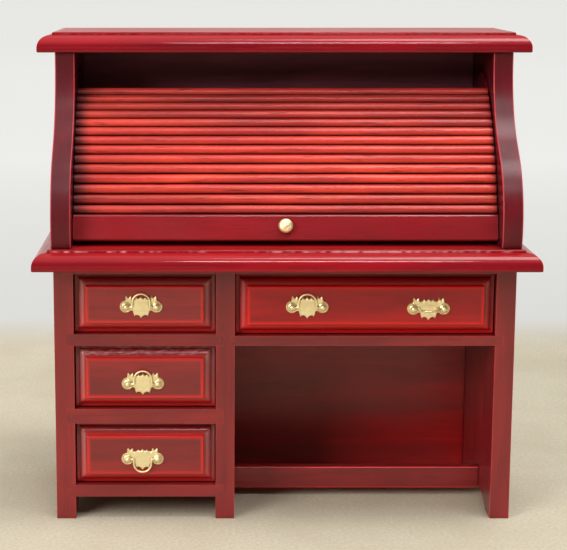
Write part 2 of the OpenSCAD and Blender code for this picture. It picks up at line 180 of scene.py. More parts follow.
def stain(t, bands, blotch, pore, axis, base, deep, mottling, pores):
    """Stain that lies darker in the bands, the fine grain, the blotches and the open pores."""
    grain = t.noise(t.coords(along(axis, 0.06)), scale=900.0, detail=4.0, rough=0.6, distortion=0.3)
    colour = t.mix(t.span(bands, 0.35, 0.68), base, deep)
    colour = t.mix(t.times(t.span(grain, 0.45, 0.72), 0.45), colour, deep)
    colour = t.mix(t.times(t.span(blotch, 0.4, 0.7), mottling), colour, deep)
    return t.mix(t.times(pore, pores), colour, tuple(c * 0.35 for c in deep))


def wear_and_painted_marks(t, colour, bands, worn_and_lit, wear, wear_and_painted_light, painted_light_and_tone):
    """Stain rubbed off the arrises, and colour changed where the mesh's two attributes ask: one carries
    painted highlights and shadows with some random variation, the other more rubbed stain and painted light.
    """
    patchy = t.span(t.noise(t.coords(), scale=420.0, rough=0.6), 0.3, 0.62)
    colour = t.mix(t.times(t.times(t.edges(0.5 * MM), patchy), wear), colour, worn_and_lit)
    # Painted highlights and shadows, with some random variation, as the mesh carries them.
    if painted_light_and_tone:
        colour = t.mix(t.attribute("painted_light_and_tone"), colour, painted_light_and_tone)
    # Stain rubbed off and painted light, as the mesh carries them, in streaks.
    if wear_and_painted_light:
        streaky = t.times(t.attribute("wear_and_painted_light"), t.span(bands, 0.2, 0.6, 0.55, 1.0))
        colour = t.mix(t.times(streaky, wear_and_painted_light), colour, worn_and_lit)
    return colour


def lacquer(t, pore, axis, bump, swell, coat, coat_rough):
    """Pores and slow waves in the wood, under a clear coat with waves of its own."""
    fine = t.bump(pore, bump, 0.05 * MM)
    waves = t.noise(t.coords(along(axis, 0.3)), scale=260.0, detail=2.0)
    film = t.noise(t.coords(along(axis, 0.35)), scale=330.0, detail=2.0)
    t.surface({"Normal": t.bump(waves, 0.12 * swell, 0.3 * MM, fine),
               "Coat Normal": t.bump(film, 0.08 * swell, 0.25 * MM),
               "Coat Weight": coat, "Coat Roughness": coat_rough, "Coat IOR": 1.5})


def stained_wood(name, axis, base, deep, worn_and_lit, wear=0.6, painted_corner_shade=0.5, pores=0.25, coat=0.6, coat_rough=0.12,
                 rough=0.34, mottling=0.35, bump=0.25, specular=0.3, wear_and_painted_light=0.0, painted_light_and_tone=None, swell=1.0):
    """Stained and lacquered hardwood with its grain along an axis, rubbed arrises, and painted shade in its
    corners and grooves.
    """
    t = Tree(name)
    bands = t.noise(t.coords(along(axis, 0.12)), scale=190.0, detail=2.0, distortion=0.6)
    blotch = t.noise(t.coords(), scale=55.0, rough=0.55)
    dashes = t.noise(t.coords(along(axis, 0.045)), scale=2600.0, detail=2.0)
    pore = t.span(dashes, 0.60, 0.70)
    colour = stain(t, bands, blotch, pore, axis, base, deep, mottling, pores)
    colour = wear_and_painted_marks(t, colour, bands, worn_and_lit, wear, wear_and_painted_light, painted_light_and_tone)
    # Painted shade: the colour is darkened in corners and grooves found by an occlusion test.
    shade = t.span(t.crevices(1.6 * MM), 0.25, 0.85, 1.0 - painted_corner_shade, 1.0)
    t.surface({"Base Color": t.mix(1.0, colour, shade, "MULTIPLY"), "Specular IOR Level": specular,
               "Roughness": t.span(blotch, 0.3, 0.7, rough - 0.05, rough + 0.07)})
    lacquer(t, pore, axis, bump, swell, coat, coat_rough)
    return t.mat


def metal(name, base, tarnish, rough, stamp=0.2):
    """Thin plated metal: a cloudy film, fine pits, and tarnish in the hollows."""
    t = Tree(name)
    cloud = t.noise(t.coords(), scale=700.0, rough=0.6)
    colour = t.mix(t.times(t.span(cloud, 0.4, 0.75), 0.5), base, tarnish)
    shade = t.span(t.crevices(0.5 * MM), 0.3, 0.9, 0.45, 1.0)
    pits = t.noise(t.coords(), scale=1900.0, detail=2.0, rough=0.6)
    t.surface({"Base Color": t.mix(1.0, colour, shade, "MULTIPLY"), "Metallic": 0.8,
               "Roughness": t.span(cloud, 0.3, 0.7, rough - 0.04, rough + 0.1),
               "Normal": t.bump(pits, stamp, 0.02 * MM)})
    return t.mat


def cloth_and_paper(name):
    """Pale beige cloth under the desk, and grey-white paper over it behind the desk and up the far wall."""
    t = Tree(name)
    where = t.add("TexCoord")
    split = t.add("SeparateXYZ")
    t.link(where.outputs["Object"], split.inputs[0])
    back = split.outputs["Y"]
    weave = t.noise(t.coords(), scale=1100.0, rough=0.7)
    patch = t.noise(t.coords(), scale=30.0, detail=4.0, rough=0.6)
    cloth = t.mix(t.span(weave, 0.35, 0.65), (0.53, 0.48, 0.36), (0.64, 0.59, 0.46))
    cloth = t.mix(t.times(t.span(patch, 0.4, 0.7), 0.35), cloth, (0.44, 0.37, 0.26))
    paper = t.span(back, 0.185, 0.235)
    glow = t.mix(1.0, (1.0, 1.0, 0.97), t.span(back, 0.22, 0.80, 0.42, 0.62), "MULTIPLY")
    t.surface({"Base Color": t.mix(paper, cloth, (0.25, 0.25, 0.24)), "Roughness": 0.9,
               "Emission Color": t.mix(paper, (0.0, 0.0, 0.0), glow), "Emission Strength": 1.0,
               "Specular IOR Level": 0.1, "Normal": t.bump(weave, 0.5, 0.3 * MM)})
    return t.mat


RED = dict(base=(0.31, 0.005, 0.012), deep=(0.17, 0.003, 0.009), worn_and_lit=(0.62, 0.012, 0.016))
# A lighter copy of the red stain for the boards' flat tops: painted light from above.
LIT_TOP = dict(base=(0.50, 0.008, 0.010), deep=(0.34, 0.005, 0.008), worn_and_lit=(0.80, 0.05, 0.05))
FIELD = dict(base=(0.30, 0.015, 0.016), deep=(0.17, 0.010, 0.012), worn_and_lit=(0.80, 0.014, 0.012))
POST = dict(base=(0.30, 0.017, 0.019), deep=(0.17, 0.011, 0.014), worn_and_lit=(1.0, 0.07, 0.07))
WIDE = dict(base=(0.41, 0.009, 0.010), deep=(0.24, 0.006, 0.008), worn_and_lit=(0.78, 0.012, 0.010))
DARK = dict(base=(0.14, 0.006, 0.012), deep=(0.08, 0.004, 0.009), worn_and_lit=(0.80, 0.08, 0.10))
ROLL = dict(base=(0.90, 0.075, 0.042), deep=(0.52, 0.024, 0.018), worn_and_lit=(0.95, 0.18, 0.12))
RAIL = dict(base=(0.30, 0.007, 0.013), deep=(0.21, 0.005, 0.010), worn_and_lit=(0.80, 0.05, 0.06))
INSIDE = dict(base=(0.36, 0.05, 0.035), deep=(0.22, 0.022, 0.018), worn_and_lit=(0.55, 0.12, 0.08))
UNLIT = dict(base=(0.34, 0.10, 0.14), deep=(0.22, 0.06, 0.09), worn_and_lit=(0.35, 0.10, 0.14))

MATS = {
    # On the moulding, the pale pink paints the highlight on the bead, and the bright red paints light on the
    # quarter-round.
    "moulding": stained_wood("moulding", "x", **RED, coat=0.48, coat_rough=0.08, specular=0.04, wear_and_painted_light=0.38,
                             painted_light_and_tone=(0.95, 0.50, 0.50), swell=0.35, bump=0.12),
    "lit_board_top": stained_wood("lit_board_top", "x", **LIT_TOP, coat=0.5, coat_rough=0.3, wear=0.5, specular=0.25,
                              rough=0.4),
    # The drawers' pale pinks paint highlights on their side and top mouldings.
    "drawer": stained_wood("drawer", "x", **FIELD, coat_rough=0.22, wear=0.5, painted_corner_shade=0.1, wear_and_painted_light=0.9,
                           painted_light_and_tone=(0.46, 0.17, 0.17)),
    "wide_drawer": stained_wood("wide_drawer", "x", **WIDE, coat=0.4, coat_rough=0.2, wear=0.5, painted_corner_shade=0.1,
                                wear_and_painted_light=0.95, specular=0.2, painted_light_and_tone=(0.46, 0.10, 0.10)),
    # Rubbed arrises of the gables, posts and kneehole rails are partly painted highlight.
    "gable": stained_wood("gable", "z", **DARK, coat=0.45, coat_rough=0.32, wear=0.7, mottling=0.6,
                          specular=0.05, wear_and_painted_light=0.6),
    "post": stained_wood("post", "z", **POST, coat=0.5, coat_rough=0.25, wear=0.15, wear_and_painted_light=0.95),
    "rail": stained_wood("rail", "x", **POST, coat=0.5, coat_rough=0.25, wear=0.1),
    "knee": stained_wood("knee", "x", **POST, coat=0.5, coat_rough=0.25, wear=0.3, wear_and_painted_light=0.9, bump=0.5,
                         mottling=0.6),
    "panel": stained_wood("panel", "x", **WIDE, coat=0.3, coat_rough=0.25, wear=0.5),
    "shadow": stained_wood("shadow", "x", **UNLIT, coat=0.0, wear=0.3, specular=0.1, rough=0.6),
    # The slats' dark red paints shadow, along with some random darkening.
    "slat": stained_wood("slat", "x", **ROLL, coat=0.3, coat_rough=0.26, pores=0.8, wear=0.2, painted_corner_shade=0.9,
                         bump=0.6, specular=0.25, painted_light_and_tone=(0.13, 0.008, 0.014)),
    "lift": stained_wood("lift", "x", **RAIL, coat_rough=0.16, pores=0.4, wear=0.7, specular=0.2),
    "inside_x": stained_wood("inside_x", "x", **INSIDE, coat=0.1, coat_rough=0.4, rough=0.5),
    "inside_y": stained_wood("inside_y", "y", **INSIDE, coat=0.1, coat_rough=0.4, rough=0.5),
    "brass": metal("brass", (1.0, 0.87, 0.52), (0.86, 0.68, 0.34), rough=0.34, stamp=0.12),
    "steel": metal("steel", (0.20, 0.07, 0.06), (0.10, 0.04, 0.04), rough=0.5),
}


# ---------------------------------------------------------------- numbers and outlines

def wander(value, seed, amount, pitch):
    """A small slow drift along a length, the same each run."""
    return amount * noise.noise(Vector((value / pitch, seed * 7.31, seed * 1.7)))


def clamp(value, top=1.0):
    return max(0.0, min(top, value))


def ridge(distance, width):
    """1 on a line and falling smoothly to 0 a few widths away from it."""
    return math.exp(-(distance / width) ** 2)


def spread(low, high, step):
    """Numbers from low up to high, a step apart."""
    value = low
    while value < high:
        yield value
        value += step


def line(a, b, steps):
    """Points from a towards b, without b."""
    return [a + (b - a) * i / steps for i in range(steps)]


def arc(cx, cy, r, a0, a1, steps):
    """Points on an arc, angles in degrees."""
    return [(cx + r * math.cos(math.radians(a0 + (a1 - a0) * i / steps)),
             cy + r * math.sin(math.radians(a0 + (a1 - a0) * i / steps))) for i in range(steps + 1)]


def quarter_round(inset, rise, radius, steps):
    """(inset, rise) points of a convex quarter circle that goes in and up by its radius."""
    return [(inset + radius - radius * math.cos(math.radians(90 * i / steps)),
             rise + radius * math.sin(math.radians(90 * i / steps))) for i in range(steps + 1)]


# ---------------------------------------------------------------- mesh helpers

# Points closer than this are one point, faces this near to one plane are one face, and edges that turn by
# more than this are arrises.
WELD = 1e-6
COPLANAR = math.radians(0.4)
ARRIS = math.radians(28)


def smoothed(mesh, angle):
    """Smooth shading, with edges sharper than the angle kept crisp."""
    mesh.polygons.foreach_set("use_smooth", [True] * len(mesh.polygons))
    mesh.set_sharp_from_angle(angle=math.radians(angle))
    mesh.update()


def piece_from(name, bm, material, node, angle=40.0):
    """Turns a bmesh into a piece that stands for a CAD node, on that node's body."""
    bmesh.ops.remove_doubles(bm, verts=bm.verts, dist=0.1 * WELD)
    bmesh.ops.recalc_face_normals(bm, faces=bm.faces)
    mesh = bpy.data.meshes.new(name)
    bm.to_mesh(mesh)
    bm.free()
    smoothed(mesh, angle)
    mesh.materials.append(MATS[material])
    obj = bpy.data.objects.new(name, mesh)
    bpy.context.scene.collection.objects.link(obj)
    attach(obj, NODES[node]["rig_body"])
    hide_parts(node)
    return obj


def cad_copy(node):
    """The CAD node's own shape as a bmesh."""
    bm = bmesh.new()
    bm.from_mesh(NODES[node].data)
    bmesh.ops.remove_doubles(bm, verts=bm.verts, dist=WELD)
    return bm


def loft(bm, rings):
    """Joins rings of equally many points with quads; returns the rings' vertices."""
    rows = [[bm.verts.new(p) for p in ring] for ring in rings]
    count = len(rows[0])
    for low, high in zip(rows, rows[1:]):
        for i in range(count):
            k = (i + 1) % count
            bm.faces.new((low[i], low[k], high[k], high[i]))
    return rows


def solid_loft(bm, rings):
    """A loft with both its ends closed."""
    rows = loft(bm, rings)
    bm.faces.new(reversed(rows[0]))
    bm.faces.new(rows[-1])


def lathe(bm, profile, place, steps=40, shape=None):
    """Turns (radius, height) points about a local axis; place moves the result into the desk's frame."""
    rings = []
    for radius, height in profile:
        ring = []
        for i in range(steps):
            angle = 2 * math.pi * i / steps
            lift = shape(radius, angle) if shape else 0.0
            ring.append(place @ Vector((radius * math.cos(angle), radius * math.sin(angle), height + lift)))
        rings.append(ring)
    solid_loft(bm, rings)


# ---------------------------------------------------------------- plain wood pieces

def on_outer_rim(spot, low, high, outline, level=0.6 * MM, depth=1.2 * MM, width=0.45 * MM):
    """True near the front of a board and near its long outer edges, where its arrises are lightened: partly
    stain rubbed off by hands, partly painted highlight.
    """
    near = min(abs(z - spot.z) for z, y in outline) + level
    front = min(y for z, y in outline if abs(z - spot.z) <= near)
    if high.x - low.x > high.z - low.z:
        rim = min(spot.z - low.z, high.z - spot.z)
    else:
        rim = min(spot.x - low.x, high.x - spot.x)
    return spot.y < front + depth and rim < width


def softened(node, material, width, segments=2):
    """The CAD node's own shape with its arrises rounded, as sanded and lacquered wood has them."""
    bm = cad_copy(node)
    bmesh.ops.dissolve_limit(bm, angle_limit=COPLANAR, verts=bm.verts, edges=bm.edges)
    wear_and_painted_light = bm.faces.layers.float.new("wear_and_painted_light")
    outline = sorted({(round(v.co.z, 6), round(v.co.y, 6)) for v in bm.verts})
    sharp = [e for e in bm.edges if e.is_manifold and e.calc_face_angle(0.0) > ARRIS]
    made = bmesh.ops.bevel(bm, geom=sharp, offset=width * MM, offset_type="OFFSET", segments=segments,
                           profile=0.5, affect="EDGES", clamp_overlap=True)
    low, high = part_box(node)
    # Rounded arrises near the front are marked for a lighter colour: partly stain rubbed off, partly painted
    # highlight.
    for face in made["faces"]:
        face[wear_and_painted_light] = float(on_outer_rim(face.calc_center_median(), low, high, outline))
    obj = piece_from(node + "_wood", bm, material, node)
    even = obj.modifiers.new("even", "WEIGHTED_NORMAL")
    even.keep_sharp = True
    even.weight = 100
    return obj


def upper_back():
    """Back panel behind the roll: a dull inner face coloured as painted shade, and an outside stained like
    the base's.
    """
    panel = softened("upper_back_panel", "shadow", 0.1)
    panel.data.materials.append(MATS["panel"])
    for face in panel.data.polygons:
        face.material_index = 1 if face.normal.y > -0.5 else 0


# ---------------------------------------------------------------- moulded boards

# Moulded edge of a board, in mm: flat band, quarter-round over it, small ledge, and the arrises' radius.
BAND = 1.1
OVOLO = 3.0
LEDGE = 0.5
SOFT = 0.35
# Of a board's faces that look up, only its flat top is larger than this, in square metres.
FLAT_TOP = 1e-4


def moulding_profile(height):
    """(inset, height) in mm from the underside up: rounded band, quarter-round, beaded ledge, fillet."""
    crown = BAND + OVOLO
    step = OVOLO + LEDGE
    points = [(1.6 * SOFT, 0.0)]
    points += [(SOFT - SOFT * math.cos(a), SOFT - SOFT * math.sin(a)) for a in (1.2, 0.8, 0.4, 0.0)]
    points += [(0.0, BAND - 0.12), (0.03, BAND - 0.04)]
    points += quarter_round(0.0, BAND, OVOLO, 14)
    points += [(OVOLO + 0.1, crown + 0.05), (step - 0.16, crown + 0.04), (step - 0.08, crown - 0.1)]
    points += [(step, crown + rise) for rise in (-0.02, 0.08, 0.34, 0.44)]
    points += [(step, height - SOFT - 0.05)]
    points += [(step + SOFT - SOFT * math.cos(a), height - SOFT + SOFT * math.sin(a))
               for a in (0.4, 0.8, 1.2, 1.57)]
    points += [(step + 3 * SOFT, height)]
    return points


def painted_moulding_light(mesh, underside, bead_glint, seed):
    """Painted light from above: the quarter-round lightened towards its crown and above it, and broken dashes
    of painted highlight on its bead.
    """
    wear_and_painted_light = mesh.attributes.new("wear_and_painted_light", "FLOAT", "POINT")
    painted_light_and_tone = mesh.attributes.new("painted_light_and_tone", "FLOAT", "POINT")
    start = underside + BAND * MM
    # turn is 0 at the foot of the quarter-round and 1 at its crown; the bead stands just over the crown.
    for v, lightened, pale in zip(mesh.vertices, wear_and_painted_light.data, painted_light_and_tone.data):
        turn = (v.co.z - start) / (OVOLO * MM)
        # Painted light: lighter as the quarter-round turns upward, and evenly light above its crown.
        lightened.value = clamp(1.6 * turn - 0.35) if turn < 1.005 else 0.45
        dash = wander(v.co.x + v.co.y, seed + 5.3, 1.1, 0.0011) + wander(v.co.x, seed + 8.1, 0.9, 0.03)
        # Painted highlight: pale dashes along the bead.
        on_bead = 1.02 < turn < 1.12
        pale.value = clamp(0.35 + 1.3 * dash) * bead_glint if on_bead else 0.0


def board_ring(low, high, inset, side_steps=50, front_steps=260):
    """Points round a board's left, front and right edges at an inset, from its back edge to its back edge."""
    corners = [Vector((low.x + inset, high.y, 0)), Vector((low.x + inset, low.y + inset, 0)),
               Vector((high.x - inset, low.y + inset, 0)), Vector((high.x - inset, high.y, 0))]
    points = line(corners[0], corners[1], side_steps)
    points += line(corners[1], corners[2], front_steps)
    points += line(corners[2], corners[3], side_steps)
    return points + [corners[3]]


def moulded_board(node, seed, bead_glint):
    """Board with its left, front and right edges moulded and mitred, and a plain back edge."""
    low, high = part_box(node)
    profile = [(inset * MM, rise * MM) for inset, rise in moulding_profile((high.z - low.z) / MM)]
    bm = bmesh.new()
    rings = []
    for k, (inset, rise) in enumerate(profile):
        on_edge = inset > 0 and rise < high.z - low.z
        ring = []
        for p in board_ring(low, high, inset):
            drift = 0.0
            if on_edge and p.y < high.y - inset:
                drift = wander(p.x + p.y, seed, 0.02 * MM, 0.02)
                drift += wander(p.x + p.y, seed + k * 0.05, 0.003 * MM, 0.004)
            ring.append(Vector((p.x, p.y + drift, low.z + rise)))
        rings.append(ring)
    solid_loft(bm, rings)
    obj = piece_from(node + "_moulded", bm, "moulding", node, 38.0)
    painted_moulding_light(obj.data, low.z, bead_glint, seed)
    # The flat top face takes the lighter stain: painted light from above.
    obj.data.materials.append(MATS["lit_board_top"])
    for face in obj.data.polygons:
        if face.normal.z > 0.99 and face.area > FLAT_TOP:
            face.material_index = 1


# ---------------------------------------------------------------- drawer fronts

# How far a drawer's raised field stands out, and its edge: flat border, quarter-round and ledge.
FIELD_PROUD = 3.2 * MM
BORDER = 0.9 * MM
FRONT_OVOLO = 1.5 * MM
FIELD_INSET = BORDER + FRONT_OVOLO + 0.35 * MM


def front_profile(depth):
    """(inset, height over the back) of a drawer front: border, quarter-round, ledge and raised field."""
    face = depth - FIELD_PROUD
    crown = face + FRONT_OVOLO
    points = [(0.0, 0.0), (0.0, face - 0.18 * MM), (0.05 * MM, face - 0.05 * MM), (0.18 * MM, face)]
    points += [(BORDER - 0.1 * MM, face), (BORDER, face + 0.05 * MM)]
    points += quarter_round(BORDER, face, FRONT_OVOLO, 9)[1:]
    points += [(FIELD_INSET - 0.08 * MM, crown), (FIELD_INSET, crown + 0.08 * MM)]
    points += [(FIELD_INSET, depth - 0.22 * MM), (FIELD_INSET + 0.06 * MM, depth - 0.07 * MM)]
    points += [(FIELD_INSET + reach * MM, depth) for reach in (0.2, 0.55, 1.0)]
    return points


def front_ring(low, high, inset, wide_steps=60, tall_steps=24):
    """Points round a drawer front at an inset."""
    a, b = Vector((low.x + inset, 0, low.z + inset)), Vector((high.x - inset, 0, low.z + inset))
    c, d = Vector((high.x - inset, 0, high.z - inset)), Vector((low.x + inset, 0, high.z - inset))
    return line(a, b, wide_steps) + line(b, c, tall_steps) + line(c, d, wide_steps) + line(d, a, tall_steps)


def front_wear_and_highlights(mesh, low, high, seed, top_glints, moulded=2.3 * MM, glint_band=2.2 * MM, fading=0.75 * MM):
    """Stain rubbed off the field's arris, the front lighter towards the bottom, a painted highlight on the
    side mouldings, and broken painted highlights along the top.
    """
    wear_and_painted_light = mesh.attributes.new("wear_and_painted_light", "FLOAT", "POINT")
    painted_light_and_tone = mesh.attributes.new("painted_light_and_tone", "FLOAT", "POINT")
    for v, lightened, pale in zip(mesh.vertices, wear_and_painted_light.data, painted_light_and_tone.data):
        across = min(v.co.x - low.x, high.x - v.co.x)
        upright = min(v.co.z - low.z, high.z - v.co.z)
        inset = min(across, upright)
        below = 1.0 - (v.co.z - low.z) / (high.z - low.z)
        sideways = across < upright - 0.02 * MM
        # Painted highlight on the side mouldings.
        pale.value = 0.65 if sideways and inset < moulded else 0.0
        # Broken painted highlights along the top, on some fronts.
        if top_glints and not sideways and high.z - v.co.z < glint_band:
            pale.value = clamp(0.1 + 1.5 * wander(v.co.x, seed + inset / MM, 1.0, 0.0011), 0.9)
        fade = clamp(1.0 - max(0.0, inset - FIELD_INSET - 0.2 * MM) / fading)
        on_arris = inset > FIELD_INSET - 0.1 * MM
        # Stain rubbed off the field's arris, stronger low down, and the rest of the front lighter towards the
        # bottom.
        lightened.value = (0.6 + 0.4 * below) * fade if on_arris else 0.6 * below ** 2


def drawer_front(node, seed, material, top_glints=False):
    """Drawer front: flat border, quarter-round, ledge and raised field, moulded round all four sides."""
    low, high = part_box(node)
    bm = bmesh.new()
    rings = []
    for k, (inset, rise) in enumerate(front_profile(high.y - low.y)):
        ring = []
        for p in front_ring(low, high, inset):
            drift = wander(p.x + p.z, seed + k * 0.03, 0.035 * MM, 0.006) if rise > 1.0 * MM else 0.0
            ring.append(Vector((p.x, high.y - rise + drift, p.z)))
        rings.append(ring)
    solid_loft(bm, rings)
    obj = piece_from(node + "_moulded", bm, material, node, 38.0)
    front_wear_and_highlights(obj.data, low, high, seed, top_glints)


# ---------------------------------------------------------------- slats

def slat_section(node, high):
    """The CAD slat's section as points in order round its middle, and that middle."""
    section = []
    for v in NODES[node].data.vertices:
        if v.co.x > high.x - 0.01 * MM and all((v.co - q).length > 0.01 * MM for q in section):
            section.append(v.co.copy())
    middle = sum(section, Vector()) / len(section)
    section.sort(key=lambda p: math.atan2(p.z - middle.z, p.y - middle.y))
    return section, middle


def slat_tone_and_shade(mesh, low, high, number, seed):
    """Painted shadow of the left gable at the left end, painted shade at the right end where the slats meet
    the right gable, the top board's painted shadow on the slats high under it, the slats over the lift rail
    darker, and a slow random variation.
    """
    # The upper slats darken from number 8 to number 12, the lower ones from number 3 down to number 1.
    upper = 0.38 * clamp((number - 7.5) / 4.0)
    lower = 0.25 * clamp((4 - number) / 3.0)
    tones = mesh.attributes.new("painted_light_and_tone", "FLOAT", "POINT")
    for v, dark in zip(mesh.vertices, tones.data):
        # Painted shadow of the left gable, and painted shade where the right end meets the right gable.
        left = ridge(v.co.x - low.x, 3.2 * MM)
        right = 0.6 * ridge(high.x - v.co.x, 0.9 * MM)
        dark.value = max(0.12 + upper + lower + wander(v.co.x, seed + 9.3, 0.3, 0.03), left, right)


def slat(number, steps=96):
    """Half-round slat: the CAD section drawn out in short steps, with the small waves of a moulded strip."""
    node = "slat_%02d" % number
    low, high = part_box(node)
    section, middle = slat_section(node, high)
    bm = bmesh.new()
    rings = []
    for i in range(steps + 1):
        x = low.x + (high.x - low.x) * i / steps
        pinch = 0.93 if i in (0, steps) else 1.0
        sway = wander(x, number + 3.1, 0.04 * MM, 0.022)
        ring = []
        for n, p in enumerate(section):
            out = (p - middle) * pinch * (1.0 + wander(x, number + 0.2 * n / len(section), 0.035, 0.009))
            ring.append(Vector((x, middle.y + out.y, middle.z + out.z + sway)))
        rings.append(ring)
    solid_loft(bm, rings)
    obj = piece_from(node + "_strip", bm, "slat", node, 55.0)
    slat_tone_and_shade(obj.data, low, high, number, number)


# ---------------------------------------------------------------- knob

# (radius, height) over the lift rail's face in mm: foot, waist and rim, and the round dome over them.
KNOB_SIDE = [(1.5, 0.0), (1.5, 0.22), (1.42, 0.3), (0.85, 0.34), (0.75, 0.5), (0.8, 0.78), (1.3, 0.84),
             (1.62, 0.92), (1.74, 1.05), (1.75, 1.2), (1.73, 1.32)]
DOME_R = 1.68
DOME_FOOT = 1.42
DOME_RISE = 0.72


def knob_place():
    """Where the knob stands: its axis points out of the lift rail's face, away from the roll's pivot."""
    low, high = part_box("lift_knob")
    pivot = Vector(JOINTS["roll_lift"]["pos_m"])
    middle = (low + high) / 2
    out = Vector((0, middle.y - pivot.y, middle.z - pivot.z)).normalized()
    side = Vector((1, 0, 0))
    face = max((v.co - pivot).dot(out) for v in NODES["lift_rail"].data.vertices)
    base = pivot + out * face
    base.x = middle.x
    place = Matrix((side, out.cross(side), out)).transposed().to_4x4()
    place.translation = base
    return place


def petals(radius, angle):
    """Four petals and a dot pressed into the dome."""
    r = radius / MM
    if r > 1.45:
        return 0.0
    reach = 0.35 + 0.62 * abs(math.cos(2 * angle)) ** 0.7
    return (-0.085 * ridge(r - reach, 0.12) + 0.05 * ridge(r, 0.16)) * MM


def knob():
    """Turned knob on the lift rail, with its pin."""
    place = knob_place()
    dome = [(DOME_R * (1 - i / 26), DOME_FOOT + DOME_RISE * math.sqrt(1 - (1 - i / 26) ** 2))
            for i in range(26)]
    bm = bmesh.new()
    lathe(bm, [(r * MM, h * MM) for r, h in KNOB_SIDE + dome], place, 96, petals)
    lathe(bm, [(0.4 * MM, -2.0 * MM), (0.4 * MM, 0.1 * MM)], place, 24)
    piece_from("lift_knob_flower", bm, "brass", "lift_knob", 60.0)


# ---------------------------------------------------------------- pulls

# Stamped plate in mm: distance between its posts, radius of its lobes, and half its outline above and below.
POST_GAP = 7.34
LOBE_R = 1.5
HALF_CREST = [(0, 2.42), (0.28, 2.12), (0.58, 1.98), (0.86, 2.1), (1.12, 2.36), (1.32, 2.0), (1.62, 1.9),
              (2.0, 1.8), (2.2, 1.95), (2.36, 2.5), (2.62, 2.62), (2.86, 2.22), (3.02, 2.16), (3.18, 2.3),
              (3.44, 2.66), (3.72, 2.5), (3.8, 1.9)]
HALF_FOOT = [(2.3, -1.0), (1.98, -1.14), (1.9, -1.6), (1.66, -2.4), (1.3, -2.12), (0.85, -2.06), (0.42, -2.3),
             (0, -2.86)]
# Also in mm: half width of the shield, mesh of the net that fills the plate, and its gap to the outline.
SHIELD_W = 2.3
NET = 0.16
NET_GAP = 0.07
# How much thinner all round the bail's wire is than in the CAD, in mm.
WIRE_SLIM = 0.06


def plate_outline():
    """Right half from the top down, round the lobe, then its mirror image."""
    lobe = arc(POST_GAP / 2, 0.0, LOBE_R, 82.0, -138.0, 26)
    right = HALF_CREST + lobe + HALF_FOOT
    return right + [(-x, y) for x, y in reversed(right[1:-1])]


def inside(point, outline):
    """Even-odd test."""
    x, y = point
    hit = False
    for (ax, ay), (bx, by) in zip(outline, outline[1:] + outline[:1]):
        if (ay > y) != (by > y) and x < (bx - ax) * (y - ay) / (by - ay) + ax:
            hit = not hit
    return hit


def edge_distance(point, outline):
    """Distance from a point to a closed outline."""
    best = math.inf
    for a, b in zip(outline, outline[1:] + outline[:1]):
        dx, dy = b[0] - a[0], b[1] - a[1]
        t = clamp(((point[0] - a[0]) * dx + (point[1] - a[1]) * dy) / (dx * dx + dy * dy))
        best = min(best, math.hypot(point[0] - a[0] - t * dx, point[1] - a[1] - t * dy))
    return best


def plate_relief(x, y, edge):
    """Height of the stamped face in mm: rolled rim, dished lobes, shield with a beaded line, leaf veins."""
    side = abs(x)
    lobe = math.hypot(side - POST_GAP / 2, y)
    height = 0.20 + 0.18 * min(1.0, edge / 0.16) ** 0.5 + 0.07 * ridge(edge - 0.24, 0.11)
    if lobe < LOBE_R:
        height -= 0.12 * ridge(lobe - 1.02, 0.17)
    if side < SHIELD_W:
        height += 0.10 * max(0.0, 1.0 - (x / SHIELD_W) ** 2 - (y / 2.6) ** 2)
        if edge > 0.3:
            beads = 0.6 + 0.4 * math.cos(14 * x)
            height += 0.05 * ridge(y - 0.75 + 0.16 * x * x * 0.6, 0.10) * beads
            height -= 0.05 * ridge(y + 0.85 - 0.1 * x * x, 0.08)
    if y < -1.2:
        height += 0.05 * ridge(min(side, abs(side - 1.45)), 0.1)
    if y > 1.4:
        height += 0.05 * ridge(min(abs(side - vein) for vein in (0.0, 1.12, 2.5, 3.55)), 0.09)
    return height


def stamped_plate(bm, pivot, face):
    """The plate: its outline filled with a fine net, pressed into relief and closed flat at the back."""
    outline = plate_outline()
    points = [Vector(p) for p in outline]
    count = len(points)
    for x in spread(-5.2, 5.2, NET):
        for y in spread(-2.9, 2.6, NET):
            if inside((x, y), outline) and edge_distance((x, y), outline) > NET_GAP:
                points.append(Vector((x, y)))
    verts, _, faces, *_ = delaunay_2d_cdt(points, [], [list(range(count))], 1, 1e-6)
    top = []
    for v in verts:
        height = plate_relief(v.x, v.y, edge_distance(v, outline))
        top.append(bm.verts.new((pivot.x + v.x * MM, face - height * MM, pivot.z + v.y * MM)))
    for f in faces:
        bm.faces.new([top[i] for i in f])
    made = bmesh.ops.extrude_edge_only(bm, edges=[e for e in bm.edges if e.is_boundary])["geom"]
    for v in made:
        if isinstance(v, bmesh.types.BMVert):
            v.co.y = face
    bmesh.ops.contextual_create(bm, geom=[e for e in bm.edges if e.is_boundary])


def pull_plate(number):
    """Stamped plate with a relief, and two posts with ball heads."""
    node = "pull_%d_plate" % number
    swing = JOINTS["bail_%d_swing" % number]
    pivot = Vector(swing["pos_m"])
    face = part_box(swing["parent"] + "_front")[0].y
    bm = bmesh.new()
    stamped_plate(bm, pivot, face)
    post = [(0.4, -1.6), (0.4, 0.2), (0.98, 0.22), (0.98, 0.34), (0.9, 0.42), (0.66, 0.46), (0.6, 0.52)]
    post += arc(0.0, 0.98, 0.74, -36.0, 88.0, 12)
    for side in (-1, 1):
        place = Matrix(((1, 0, 0, pivot.x + side * POST_GAP / 2 * MM), (0, 0, -1, face), (0, 1, 0, pivot.z),
                        (0, 0, 0, 1)))
        lathe(bm, [(r * MM, h * MM) for r, h in post], place, 32)
    piece_from(node + "_stamped", bm, "brass", node, 50.0)


